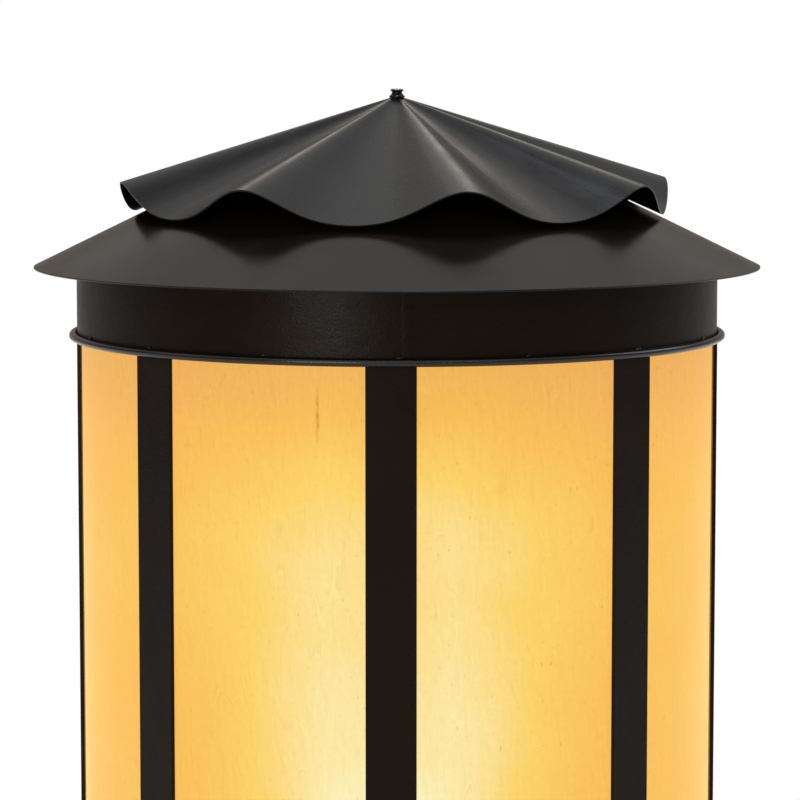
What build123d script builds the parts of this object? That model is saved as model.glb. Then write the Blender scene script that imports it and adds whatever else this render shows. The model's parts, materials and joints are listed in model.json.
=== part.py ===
from build123d import *
import os
from math import asin, cos, degrees, radians, sin, sqrt, tan

# Pier mount light: a drum lantern of lit panels behind flat bars, under a plain conical roof and a
# fluted cap. Millimetres, +Z up. The origin is the centre of the pier plate's underside.
# Azimuths are in degrees from the front (-Y) and grow towards +X. Radii are from the lantern's axis.

# Clearances
seat_gap = 0.3  # between seated pieces, and around the loose panels
weld_gap = 0.05  # a welded piece stands this far off a curved face
thread_gap = 0.05  # radial, a screw, stud or pipe in its thread
hole_gap = 0.4  # radial, a fastener in a plain hole

# Drum: curved panels behind flat bars, between two rolled bands
side_count = 8
panel_radius = 254.0  # outer face, a 20 inch drum
panel_thickness = 3.0
panel_spacing = 8.0  # between neighbouring panels, behind a bar
panel_tuck = 25.0  # hidden behind each band
bar_width = 38.1
bar_thickness = 3.175
glazing_height = 508.0  # between the bands
band_height = 73.0
band_thickness = 3.175
band_play = 0.6  # panel's outer face to the band
bead_diameter = 6.35

# Panel hoops with their weld studs and nuts
hoop_height = 19.0
hoop_thickness = 1.6
hoop_stud_diameter = 4.17
hoop_nut_width = 8.7  # across flats
hoop_nut_thickness = 3.2
hoop_stud_end = 1.5  # past the nut

# Screws, all with pan heads
head_diameter_ratio = 1.95  # head over shank
head_height_ratio = 0.6  # head over shank

# Ledge and lamp deck
ledge_width = 18.0
ledge_thickness = 3.175
deck_thickness = 1.5
deck_margin = 4.0  # panel's inner face to the deck's edge
deck_screw_count = 4
deck_screw_azimuth = 22.5
deck_screw_diameter = 4.17
deck_screw_length = 8.0

# Pier plate
plate_thickness = 4.76
plate_margin = 3.0  # band's inner face to the plate's edge
anchor_count = 4
anchor_circle = 330.0  # diameter
anchor_azimuth = 45.0
anchor_hole_diameter = 11.0
tab_count = 4
tab_azimuth = 45.0
tab_width = 30.0
tab_height = 32.0
tab_bend_radius = 3.0
base_screw_height = 18.0
base_screw_diameter = 4.83
base_screw_length = 10.0
wire_hole_diameter = 22.2
bushing_bore = 16.0  # diameter
bushing_flange_width = 3.5
bushing_flange_height = 2.5
bushing_lift = 0.4  # its lower end above the pier

# Lamps
lamp_count = 4
lamp_circle = 240.0  # diameter
lamp_centre_height = 285.0  # middle of the globe
globe_radius = 30.0
globe_wall = 1.0
globe_rise = 77.0  # base tip to the middle of the globe
neck_radius = 12.6
neck_height = 6.0
base_radius = 13.1
base_height = 27.0
base_tip_radius = 4.8
base_tip_height = 1.5
base_cone_height = 4.0
shell_wall = 0.6
shell_depth = 22.0
holder_wall = 6.0
holder_depth = 28.0
holder_floor = 8.0
holder_neck_radius = 11.0
holder_flare = 10.0  # height of the cone from neck to cup
stem_diameter = 10.3
stem_bore = 6.8
stem_entry = 12.0  # into the lampholder
stem_tail = 3.0  # below its lower locknut
locknut_width = 15.9  # across flats
locknut_thickness = 4.0
lead_diameter = 5.6
lead_bend_radius = 12.0

# Terminal block under the deck
block_width = 44.0
block_height = 32.0
block_port_depth = 6.0
block_port_height = 8.0  # above the block's lower face
block_edge = 2.0
block_screw_spacing = 26.0
block_screw_diameter = 3.5
block_screw_length = 9.0

# Roof: spider, stud, collar and cone
spider_width = 25.4
spider_thickness = 3.175
spider_drop = 20.0  # band's top edge to the spider's top face
roof_stud_diameter = 4.83
roof_stud_tail = 3.0  # below its lower nut
roof_nut_width = 9.5  # across flats
roof_nut_thickness = 3.2
collar_thickness = 1.5
collar_play = 4.0  # radial, inside the band
collar_lift = 2.0  # above the spider
roof_radius = 292.1
roof_thickness = 1.5
roof_slope = 26.0  # degrees
vent_radius = 140.0  # the roof's upper opening

# Fluted cap: a round sheet, ruled from its apex to a wavy edge
flute_count = 8
cap_slant = 234.0  # apex to edge along the sheet
cap_mean_drop = 79.0  # apex to edge, mean height
flute_rise = 12.8  # crests above the mean, lows below it
crest_pinch = 0.33  # crests narrower than lows, 0 for an even wave
crest_azimuth = 14.5
cap_thickness = 1.3
points_per_flute = 8

# Finial
washer_radius = 6.3
washer_thickness = 1.2
finial_height = 4.8
finial_foot_radius = 5.0
finial_foot_height = 1.0
finial_neck_radius = 4.1
finial_top_radius = 5.3
finial_top_height = 1.7
finial_edge = 0.6
finial_crown = 1.6  # wall above the blind bore

# Heights and radii that follow from the sizes above
side_angle = 360.0 / side_count
glazing_bottom = band_height
glazing_top = glazing_bottom + glazing_height
band_top = glazing_top + band_height
band_inner = panel_radius + band_play
band_outer = band_inner + band_thickness
bead_radius = bead_diameter / 2
bead_circle_radius = band_outer + weld_gap + bead_radius
panel_inner = panel_radius - panel_thickness
panel_bottom = glazing_bottom - panel_tuck
panel_top = glazing_top + panel_tuck
hoop_outer = panel_inner - seat_gap
hoop_inner = hoop_outer - hoop_thickness
hoop_bottom_height = glazing_bottom - panel_tuck / 2
hoop_top_height = glazing_top + panel_tuck / 2
hoop_nut_corner = hoop_nut_width / sqrt(3)
hoop_nut_face = sqrt(hoop_inner**2 - hoop_nut_corner**2) - weld_gap
ledge_outer = band_inner - weld_gap
ledge_inner = ledge_outer - ledge_width
ledge_bottom = panel_bottom - ledge_thickness
deck_radius = panel_inner - deck_margin
deck_top = panel_bottom + deck_thickness
deck_screw_radius = (ledge_inner + deck_radius) / 2
plate_radius = band_inner - plate_margin
tab_face = sqrt((band_inner - seat_gap) ** 2 - (tab_width / 2) ** 2)
bushing_radius = wire_hole_diameter / 2 - seat_gap
bushing_top = plate_thickness + bushing_flange_height
lamp_radius = lamp_circle / 2
base_tip = lamp_centre_height - globe_rise
base_top = base_tip + base_height
shell_bore = base_radius + seat_gap
shell_radius = shell_bore + shell_wall
shell_bottom = base_tip - seat_gap - shell_wall
holder_bore = shell_radius + thread_gap
holder_radius = holder_bore + holder_wall
holder_top = shell_bottom + holder_depth
holder_floor_bottom = shell_bottom - holder_floor
holder_bottom = holder_floor_bottom - stem_entry
stem_bottom = panel_bottom - locknut_thickness - stem_tail
block_bottom = panel_bottom - block_height
lead_height = block_bottom + block_port_height
spider_top = band_top - spider_drop
spider_bottom = spider_top - spider_thickness
spider_reach = sqrt(band_inner**2 - (spider_width / 2) ** 2) - weld_gap
roof_stud_radius = roof_stud_diameter / 2
roof_stud_bottom = spider_bottom - roof_nut_thickness - roof_stud_tail
collar_outer = band_inner - collar_play
collar_bottom = spider_top + collar_lift
slope = radians(roof_slope)
cap_low_drop = cap_mean_drop + flute_rise
cap_low_radius = sqrt(cap_slant**2 - cap_low_drop**2)
cap_crest_drop = cap_mean_drop - flute_rise
cap_crest_radius = sqrt(cap_slant**2 - cap_crest_drop**2)
cap_hole = roof_stud_radius + hole_gap
cap_sheet_height = cap_thickness / cos(asin(cap_mean_drop / cap_slant))
cap_low_slope = cap_low_drop / (cap_low_radius - cap_hole)
cap_crest_slope = cap_crest_drop / (cap_crest_radius - cap_hole)


def roof_underside(radius):
    """Height of the roof's underside, which rests on the band's upper outer corner."""
    return band_top + seat_gap + (band_outer - radius) * tan(slope)


# The cap's lows rest on the upper corner of the roof's opening, and the finial stands on the cap
vent_corner_radius = vent_radius + roof_thickness * sin(slope)
vent_corner_height = roof_underside(vent_radius) + roof_thickness * cos(slope)
cap_low_underside = vent_corner_height + seat_gap
cap_apex = cap_low_underside + cap_sheet_height + cap_low_slope * (vent_corner_radius - cap_hole)
washer_seat = cap_apex + seat_gap
washer_top = washer_seat + washer_thickness
finial_bottom = washer_top + thread_gap
finial_top = finial_bottom + finial_height
finial_bore_top = finial_top - finial_crown
roof_stud_top = finial_bore_top - seat_gap


def turn(shape, azimuth):
    """The shape, made at the front, turned to its azimuth."""
    return Rot(0, 0, azimuth) * shape


def around(shape, count, first=0.0):
    """Copies of a shape made at the front, evenly spaced about the axis."""
    return [turn(shape, first + i * 360.0 / count) for i in range(count)]


def turned(*points):
    """Solid of revolution from the corners of its half section, each a radius and a height."""
    section = make_face(Polyline(*points, close=True))
    return revolve(Plane.XZ * section, Axis.Z)


def disc(radius, bottom, height):
    """Upright disc or round rod on the axis."""
    return extrude(Plane.XY.offset(bottom) * Circle(radius), height)


def ring(inner, outer, bottom, height):
    """Upright ring on the axis."""
    return extrude(Plane.XY.offset(bottom) * (Circle(outer) - Circle(inner)), height)


def radial_rod(radius, start, end, height):
    """Round rod at the front that points at the axis, from one radius in to a smaller one."""
    face = Plane(origin=(0, -start, height), x_dir=(1, 0, 0), z_dir=(0, 1, 0)) * Circle(radius)
    return extrude(face, start - end)


def facing_out(shape, radius, height):
    """A fastener made on the Z axis, laid at the front with its upper end away from the axis."""
    return Plane(origin=(0, -radius, height), x_dir=(1, 0, 0), z_dir=(0, -1, 0)) * shape


def hex_nut(width, thickness, bore):
    """Nut on the axis, from the floor up."""
    return extrude(RegularPolygon(width / 2, 6, major_radius=False) - Circle(bore), thickness)


def pan_screw(diameter, length):
    """Screw on the axis, with the underside of its domed head at the floor."""
    shank = diameter / 2
    head = shank * head_diameter_ratio
    head_height = diameter * head_height_ratio
    crown = head_height / 2
    dome_radius = (head**2 + crown**2) / (2 * crown)
    dome_angle = degrees(asin(head / dome_radius))
    dome = CenterArc((0, head_height - dome_radius), dome_radius, 90 - dome_angle, dome_angle)
    sides = Polyline((0, head_height), (0, -length), (shank, -length), (shank, 0), (head, 0), dome @ 0)
    return revolve(Plane.XZ * make_face([dome, sides]), Axis.Z)


def top_band():
    """Rolled flat strip under the roof."""
    return ring(band_inner, band_outer, glazing_top, band_height)


def bottom_band():
    """Rolled flat strip on the pier, drilled for the screws into the pier plate's tabs."""
    strip = ring(band_inner, band_outer, 0, band_height)
    radius = base_screw_diameter / 2 + hole_gap
    hole = radial_rod(radius, band_outer + band_thickness, band_inner - band_thickness, base_screw_height)
    return strip - around(hole, tab_count, tab_azimuth)


def bead(height):
    """Round rod that runs round a band's glazed edge."""
    section = Pos(bead_circle_radius, height) * Circle(bead_radius)
    return revolve(Plane.XZ * section, Axis.Z)


def upright_bar():
    """Flat bar at the front, butted between the bands."""
    middle = panel_radius + seat_gap + bar_thickness / 2
    bar = Box(bar_width, bar_thickness, glazing_height, align=(Align.CENTER, Align.CENTER, Align.MIN))
    return Pos(0, -middle, glazing_bottom) * bar


def panel():
    """Curved diffuser sheet, centred on the front."""
    half_angle = side_angle / 2 - degrees(asin(panel_spacing / 2 / panel_inner))
    start = -90 - half_angle
    outer = CenterArc((0, 0), panel_radius, start, 2 * half_angle)
    inner = CenterArc((0, 0), panel_inner, start, 2 * half_angle)
    section = make_face([outer, inner, Line(outer @ 0, inner @ 0), Line(outer @ 1, inner @ 1)])
    return extrude(Plane.XY.offset(panel_bottom) * section, panel_top - panel_bottom)


def hoop_studs():
    """Studs welded inside both bands, one behind each bar, between two panels."""
    radius = hoop_stud_diameter / 2
    start = sqrt(band_inner**2 - radius**2) - weld_gap
    end = hoop_nut_face - hoop_nut_thickness - hoop_stud_end
    lower = radial_rod(radius, start, end, hoop_bottom_height)
    upper = radial_rod(radius, start, end, hoop_top_height)
    return around(lower, side_count) + around(upper, side_count)


def panel_hoop(height):
    """Rolled strip that presses the panels' ends outwards, drilled for the studs."""
    strip = ring(hoop_inner, hoop_outer, height - hoop_height / 2, hoop_height)
    radius = hoop_stud_diameter / 2 + hole_gap
    hole = radial_rod(radius, hoop_outer + hoop_thickness, hoop_inner - hoop_thickness, height)
    return strip - around(hole, side_count)


def hoop_nuts():
    """Nuts on the studs, tight against the hoops."""
    nut = hex_nut(hoop_nut_width, hoop_nut_thickness, hoop_stud_diameter / 2 + thread_gap)
    lower = facing_out(nut, hoop_nut_face - hoop_nut_thickness, hoop_bottom_height)
    upper = facing_out(nut, hoop_nut_face - hoop_nut_thickness, hoop_top_height)
    return around(lower, side_count) + around(upper, side_count)


def deck_screw_places(shape):
    """Copies of a shape made on the axis, one at each deck screw."""
    return around(Pos(0, -deck_screw_radius, 0) * shape, deck_screw_count, deck_screw_azimuth)


def lamp_places(shape):
    """Copies of a shape made on the axis, one at each lamp."""
    return around(Pos(0, -lamp_radius, 0) * shape, lamp_count)


def block_screw_places(shape):
    """Copies of a shape made on the axis, one at each screw of the terminal block."""
    return around(Pos(0, -block_screw_spacing / 2, 0) * shape, 2, side_angle)


def panel_ledge():
    """Ring welded inside the lower band: the panels stand on it and the deck lies on it."""
    ledge = ring(ledge_inner, ledge_outer, ledge_bottom, ledge_thickness)
    return ledge - deck_screw_places(disc(deck_screw_diameter / 2 + thread_gap, ledge_bottom, ledge_thickness))


def lamp_deck():
    """Round reflector sheet that carries the lamps and the terminal block."""
    sheet = disc(deck_radius, panel_bottom, deck_thickness)
    sheet -= lamp_places(disc(stem_diameter / 2 + hole_gap, panel_bottom, deck_thickness))
    sheet -= deck_screw_places(disc(deck_screw_diameter / 2 + hole_gap, panel_bottom, deck_thickness))
    sheet -= block_screw_places(disc(block_screw_diameter / 2 + hole_gap, panel_bottom, deck_thickness))
    return sheet


def deck_screws():
    """Screws through the deck into the ledge."""
    return deck_screw_places(Pos(0, 0, deck_top) * pan_screw(deck_screw_diameter, deck_screw_length))


def pier_plate():
    """Plate that is anchored to the pier, with tabs bent up inside the lower band."""
    plate = disc(plate_radius, 0, plate_thickness)
    inner_face = tab_face - plate_thickness
    profile = Polyline(
        (inner_face - tab_bend_radius, 0),
        (tab_face, 0),
        (tab_face, tab_height),
        (inner_face, tab_height),
        (inner_face, plate_thickness + tab_bend_radius),
        (inner_face - tab_bend_radius, plate_thickness),
        close=True,
    )
    tab = extrude(Plane.YZ * (Rot(0, 180, 0) * make_face(profile)), tab_width / 2, both=True)
    plate += around(tab, tab_count, tab_azimuth)
    screw_hole = radial_rod(
        base_screw_diameter / 2 + thread_gap, band_outer, inner_face - plate_thickness, base_screw_height
    )
    plate -= around(screw_hole, tab_count, tab_azimuth)
    anchor_hole = Pos(0, -anchor_circle / 2, 0) * disc(anchor_hole_diameter / 2, 0, plate_thickness)
    plate -= around(anchor_hole, anchor_count, anchor_azimuth)
    return plate - disc(wire_hole_diameter / 2, 0, plate_thickness)


def base_screws():
    """Screws through the lower band into the tabs."""
    screw = pan_screw(base_screw_diameter, base_screw_length)
    return around(facing_out(screw, band_outer + weld_gap, base_screw_height), tab_count, tab_azimuth)


def cable_bushing():
    """Flanged sleeve that lines the plate's wire hole."""
    flange = bushing_radius + bushing_flange_width
    return turned(
        (bushing_bore / 2, bushing_lift),
        (bushing_radius, bushing_lift),
        (bushing_radius, plate_thickness),
        (flange, plate_thickness),
        (flange, bushing_top),
        (bushing_bore / 2, bushing_top),
    )


def terminal_block():
    """Moulded block under the deck, with a port in each side for a lamp lead."""
    block = Box(block_width, block_width, block_height, align=(Align.CENTER, Align.CENTER, Align.MIN))
    block = chamfer(block.edges().filter_by(Axis.Z), block_edge)
    block = Pos(0, 0, block_bottom) * block
    half = block_width / 2
    port = radial_rod(lead_diameter / 2 + thread_gap, half, half - block_port_depth, lead_height)
    block -= around(port, lamp_count)
    pilot_bottom = deck_top - block_screw_length
    return block - block_screw_places(
        disc(block_screw_diameter / 2 + thread_gap, pilot_bottom - seat_gap, panel_bottom - pilot_bottom + seat_gap)
    )


def block_screws():
    """Screws through the deck into the terminal block."""
    return block_screw_places(Pos(0, 0, deck_top) * pan_screw(block_screw_diameter, block_screw_length))


def lamp_leads():
    """Sheathed leads from the terminal block, up through the stems to the lampholders."""
    start = block_width / 2 - block_port_depth + seat_gap
    route = FilletPolyline(
        (0, -start, lead_height),
        (0, -lamp_radius, lead_height),
        (0, -lamp_radius, shell_bottom - seat_gap),
        radius=lead_bend_radius,
    )
    section = Plane(origin=route @ 0, z_dir=route % 0) * Circle(lead_diameter / 2)
    return around(sweep(section, path=route), lamp_count)


def lamp_stems():
    """Threaded pipes from the deck up to the lampholders."""
    return lamp_places(ring(stem_bore / 2, stem_diameter / 2, stem_bottom, holder_floor_bottom - stem_bottom))


def stem_locknuts():
    """Nuts above and below the deck."""
    nut = hex_nut(locknut_width, locknut_thickness, stem_diameter / 2 + thread_gap)
    lower = lamp_places(Pos(0, 0, panel_bottom - locknut_thickness) * nut)
    upper = lamp_places(Pos(0, 0, deck_top) * nut)
    return lower + upper


def lampholder():
    """Porcelain cup on a stem, open at the top for the lamp's base."""
    flare_top = holder_floor_bottom + holder_flare
    entry = stem_diameter / 2 + thread_gap
    return turned(
        (entry, holder_bottom),
        (holder_neck_radius, holder_bottom),
        (holder_neck_radius, holder_floor_bottom),
        (holder_radius, flare_top),
        (holder_radius, holder_top),
        (holder_bore, holder_top),
        (holder_bore, shell_bottom),
        (stem_bore / 2, shell_bottom),
        (stem_bore / 2, holder_floor_bottom),
        (entry, holder_floor_bottom),
    )


def socket_shells():
    """Screw shells that line the lampholders."""
    floor = shell_bottom + shell_wall
    shell = turned(
        (0, shell_bottom),
        (shell_radius, shell_bottom),
        (shell_radius, shell_bottom + shell_depth),
        (shell_bore, shell_bottom + shell_depth),
        (shell_bore, floor),
        (0, floor),
    )
    return lamp_places(shell)


def lamp_base():
    """Lamp's screw base with its contact tip."""
    return turned(
        (0, base_tip),
        (base_tip_radius, base_tip),
        (base_tip_radius, base_tip + base_tip_height),
        (base_radius, base_tip + base_tip_height + base_cone_height),
        (base_radius, base_top),
        (0, base_top),
    )


def globe_section(inset):
    """Half section of the lamp's globe, drawn in from the outside by the inset."""
    neck = neck_radius - inset
    globe = globe_radius - inset
    neck_top = base_top + neck_height
    shoulder = Spline((neck, neck_top), (globe, lamp_centre_height), tangents=[(0, 1), (0, 1)])
    crown = CenterArc((0, lamp_centre_height), globe, 0, 90)
    sides = Polyline((0, lamp_centre_height + globe), (0, base_top), (neck, base_top), (neck, neck_top))
    return make_face([shoulder, crown, sides])


def lamp_globe():
    """Blown globe, open at its neck, which stands on the base."""
    outside = revolve(Plane.XZ * globe_section(0), Axis.Z)
    return outside - revolve(Plane.XZ * globe_section(globe_wall), Axis.Z)


def top_spider():
    """Cross plate welded inside the upper band, which holds the roof stud."""
    arm = Rectangle(2 * spider_reach, spider_width)
    cross = arm + Rot(0, 0, 90) * arm - Circle(roof_stud_radius + hole_gap)
    return extrude(Plane.XY.offset(spider_bottom) * cross, spider_thickness)


def roof_stud():
    """Threaded rod from the spider up into the finial."""
    return disc(roof_stud_radius, roof_stud_bottom, roof_stud_top - roof_stud_bottom)


def stud_nuts():
    """Nuts above and below the spider."""
    nut = hex_nut(roof_nut_width, roof_nut_thickness, roof_stud_radius + thread_gap)
    return [Pos(0, 0, spider_bottom - roof_nut_thickness) * nut, Pos(0, 0, spider_top) * nut]


def roof_cone():
    """Plain conical sheet with square-cut edges."""
    across = roof_thickness * sin(slope)
    upward = roof_thickness * cos(slope)
    rim = roof_radius - across
    return turned(
        (rim, roof_underside(rim)),
        (roof_radius, roof_underside(rim) + upward),
        (vent_corner_radius, vent_corner_height),
        (vent_radius, roof_underside(vent_radius)),
    )


def roof_collar():
    """Ring welded under the roof, which drops loosely inside the upper band."""
    return ring(
        collar_outer - collar_thickness,
        collar_outer,
        collar_bottom,
        roof_underside(collar_outer) - weld_gap - collar_bottom,
    )


def cap_edge_drop(azimuth):
    """How far the cap's edge lies below its apex."""
    wave = flute_count * radians(azimuth - crest_azimuth)
    return cap_mean_drop - flute_rise * cos(wave + crest_pinch * sin(wave))


def closed_curve(points):
    """Smooth closed curve with evenly spaced parameters, so that two of them pair point by point."""
    steps = [i / len(points) for i in range(len(points) + 1)]
    return Edge.make_spline(points, periodic=True, parameters=steps)


def fluted_cap():
    """Sheet ruled from a small hole at its apex to the wavy edge of a round blank."""
    rim_points = []
    hole_points = []
    count = flute_count * points_per_flute
    for i in range(count):
        azimuth = i * 360.0 / count
        drop = cap_edge_drop(azimuth)
        radius = sqrt(cap_slant**2 - drop**2)
        across = Vector(sin(radians(azimuth)), -cos(radians(azimuth)), 0)
        rim_points.append(across * radius + Vector(0, 0, cap_apex - drop))
        hole_points.append(across * cap_hole + Vector(0, 0, cap_apex))
    sheet = Face.make_surface_from_curves(closed_curve(rim_points), closed_curve(hole_points))
    return Solid.extrude(sheet, Vector(0, 0, -cap_sheet_height))


def finial_washer():
    """Dished washer that follows the cap's crests."""
    hole = roof_stud_radius + hole_gap
    skirt = cap_crest_slope * (washer_radius - hole)
    return turned(
        (hole, washer_seat),
        (washer_radius, washer_seat - skirt),
        (washer_radius, washer_top - skirt / 2),
        (finial_foot_radius, washer_top),
        (hole, washer_top),
    )


def finial():
    """Spool-shaped thumb nut with a blind bore."""
    bore = roof_stud_radius + thread_gap
    shoulder = finial_top - finial_top_height
    return turned(
        (bore, finial_bottom),
        (finial_foot_radius, finial_bottom),
        (finial_neck_radius, finial_bottom + finial_foot_height),
        (finial_neck_radius, shoulder - finial_edge),
        (finial_top_radius, shoulder),
        (finial_top_radius, finial_top - finial_edge),
        (finial_top_radius - finial_edge, finial_top),
        (0, finial_top),
        (0, finial_bore_top),
        (bore, finial_bore_top),
    )


def nodes():
    """Every sub-part by name. A list is a group of separate like pieces."""
    made = {
        "pier_plate": pier_plate(),
        "base_screws": base_screws(),
        "cable_bushing": cable_bushing(),
        "bottom_band": bottom_band(),
        "bottom_bead": bead(glazing_bottom - bead_radius),
        "panel_ledge": panel_ledge(),
        "top_band": top_band(),
        "top_bead": bead(glazing_top + bead_radius),
        "hoop_studs": hoop_studs(),
        "panel_hoop_bottom": panel_hoop(hoop_bottom_height),
        "panel_hoop_top": panel_hoop(hoop_top_height),
        "hoop_nuts": hoop_nuts(),
        "lamp_deck": lamp_deck(),
        "deck_screws": deck_screws(),
        "terminal_block": terminal_block(),
        "block_screws": block_screws(),
        "lamp_leads": lamp_leads(),
        "lamp_stems": lamp_stems(),
        "stem_locknuts": stem_locknuts(),
        "socket_shells": socket_shells(),
        "top_spider": top_spider(),
        "roof_stud": roof_stud(),
        "stud_nuts": stud_nuts(),
        "roof_cone": roof_cone(),
        "roof_collar": roof_collar(),
        "fluted_cap": fluted_cap(),
        "finial_washer": finial_washer(),
        "finial": finial(),
    }
    for i, bar in enumerate(around(upright_bar(), side_count), start=1):
        made[f"bar_{i}"] = bar
    for i, sheet in enumerate(around(panel(), side_count, side_angle / 2), start=1):
        made[f"panel_{i}"] = sheet
    for i, holder in enumerate(lamp_places(lampholder()), start=1):
        made[f"lampholder_{i}"] = holder
    for i, base in enumerate(lamp_places(lamp_base()), start=1):
        made[f"bulb_base_{i}"] = base
    for i, globe in enumerate(lamp_places(lamp_globe()), start=1):
        made[f"bulb_glass_{i}"] = globe
    return made


os.makedirs("parts", exist_ok=True)
for name, shape in nodes().items():
    if isinstance(shape, list):
        shape = Compound(children=shape)
    export_step(shape, f"parts/{name}.step")
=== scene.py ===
"""Pier mount light: finishes and fine geometry for a drum lantern with a fluted cap.

Every length is in metres in the frame's own axes: +Z up, the front bar towards -Y, the pier at height 0.
Azimuths are measured from the front and grow towards +X.
"""
import json
import math
from functools import partial

import bmesh
import bpy
from mathutils import Matrix, Vector


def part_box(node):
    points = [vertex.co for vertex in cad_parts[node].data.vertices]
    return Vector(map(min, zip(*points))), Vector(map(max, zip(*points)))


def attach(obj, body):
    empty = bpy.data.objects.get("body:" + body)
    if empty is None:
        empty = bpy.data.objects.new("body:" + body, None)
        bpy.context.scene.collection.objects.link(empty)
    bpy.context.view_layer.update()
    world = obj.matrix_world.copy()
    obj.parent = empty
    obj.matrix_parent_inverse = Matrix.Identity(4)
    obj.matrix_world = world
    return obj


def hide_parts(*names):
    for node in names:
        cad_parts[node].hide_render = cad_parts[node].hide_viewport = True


bl_info = {
    "name": "Pier mount light",
    "version": (1, 0, 0),
    "blender": (4, 5, 0),
    "location": "3D View > Sidebar > Lantern",
    "description": "Dresses a pier mount drum lantern with its finishes, welds and fasteners",
    "category": "Object",
}

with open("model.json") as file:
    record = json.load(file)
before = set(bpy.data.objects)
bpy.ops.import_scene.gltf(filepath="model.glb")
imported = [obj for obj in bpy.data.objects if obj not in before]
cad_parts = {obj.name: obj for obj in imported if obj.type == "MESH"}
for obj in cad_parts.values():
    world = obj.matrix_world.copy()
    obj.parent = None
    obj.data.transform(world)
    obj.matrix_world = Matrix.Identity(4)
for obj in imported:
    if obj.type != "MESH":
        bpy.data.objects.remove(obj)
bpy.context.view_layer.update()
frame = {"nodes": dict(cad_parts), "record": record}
NODES = frame["nodes"]
MM = 0.001
SIDES = 8
LAMPS = 4

# Places taken from the frame
BAND_LOW, BAND_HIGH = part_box("top_band")
BASE_LOW, BASE_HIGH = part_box("bottom_band")
BEAD_LOW, BEAD_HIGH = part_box("top_bead")
BASE_BEAD_LOW, BASE_BEAD_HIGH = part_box("bottom_bead")
BAR_LOW, BAR_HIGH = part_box("bar_1")
PANEL_LOW, PANEL_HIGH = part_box("panel_1")
ROOF_LOW, ROOF_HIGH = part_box("roof_cone")
CAP_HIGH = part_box("fluted_cap")[1]
WASHER_LOW, WASHER_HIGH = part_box("finial_washer")
FINIAL_LOW, FINIAL_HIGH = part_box("finial")
GLOBE_LOW, GLOBE_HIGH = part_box("bulb_glass_1")
STUD_LOW, STUD_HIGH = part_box("roof_stud")
HOLDER_LOW, HOLDER_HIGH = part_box("lampholder_1")
STEM_LOW, STEM_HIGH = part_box("lamp_stems")
DECK_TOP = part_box("lamp_deck")[1].z
STUD_RADIUS = (STUD_HIGH.x - STUD_LOW.x) / 2
# Air that keeps touching faces apart
CLEARANCE = 0.05 * MM
# A smaller radius than this lies on the axis
ON_AXIS = 1e-9

# Nodes that come up again and again. RANGE takes a value, its two ends and what these become
MATH = "ShaderNodeMath"
VECTOR = "ShaderNodeVectorMath"
RANGE = "ShaderNodeMapRange"
NOISE = "ShaderNodeTexNoise"
RAMP = "ShaderNodeValToRGB"
JOIN = "ShaderNodeCombineXYZ"
SPLIT = "ShaderNodeSeparateXYZ"
MIX = "ShaderNodeMix"
BUMP = "ShaderNodeBump"
MAPPING = "ShaderNodeMapping"
COORDINATES = "ShaderNodeTexCoord"
RANDOM = "FunctionNodeRandomValue"
MOVE = "GeometryNodeSetPosition"
SMOOTH_SHADE = "GeometryNodeSetShadeSmooth"
ON_POINTS = "GeometryNodeInstanceOnPoints"
SMOOTH = {"interpolation_type": "SMOOTHSTEP"}
# Sockets of a MIX of colours: its share, the two colours and the result
MIX_SHARE, MIX_FIRST, MIX_SECOND, MIX_RESULT = 0, 6, 7, 2
# Multiplied with a place, leaves out its height
FLAT = (1.0, 1.0, 0.0)
WHITE = (1.0, 1.0, 1.0, 1.0)


def length_of(label, description, millimetres):
    """Property that holds a length."""
    size = millimetres * MM
    return bpy.props.FloatProperty(name=label, description=description, default=size, unit="LENGTH")


def angle_of(label, description, degrees):
    """Property that holds an angle."""
    turn = math.radians(degrees)
    return bpy.props.FloatProperty(name=label, description=description, default=turn, subtype="ANGLE")


def share_of(label, description, share):
    """Property that holds a share of one."""
    return bpy.props.FloatProperty(
        name=label, description=description, default=share, min=0.0, max=1.0, subtype="FACTOR"
    )


def colour_of(label, description, code):
    """Property that holds an sRGB hex colour."""
    return bpy.props.StringProperty(name=label, description=description, default=code)


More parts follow.
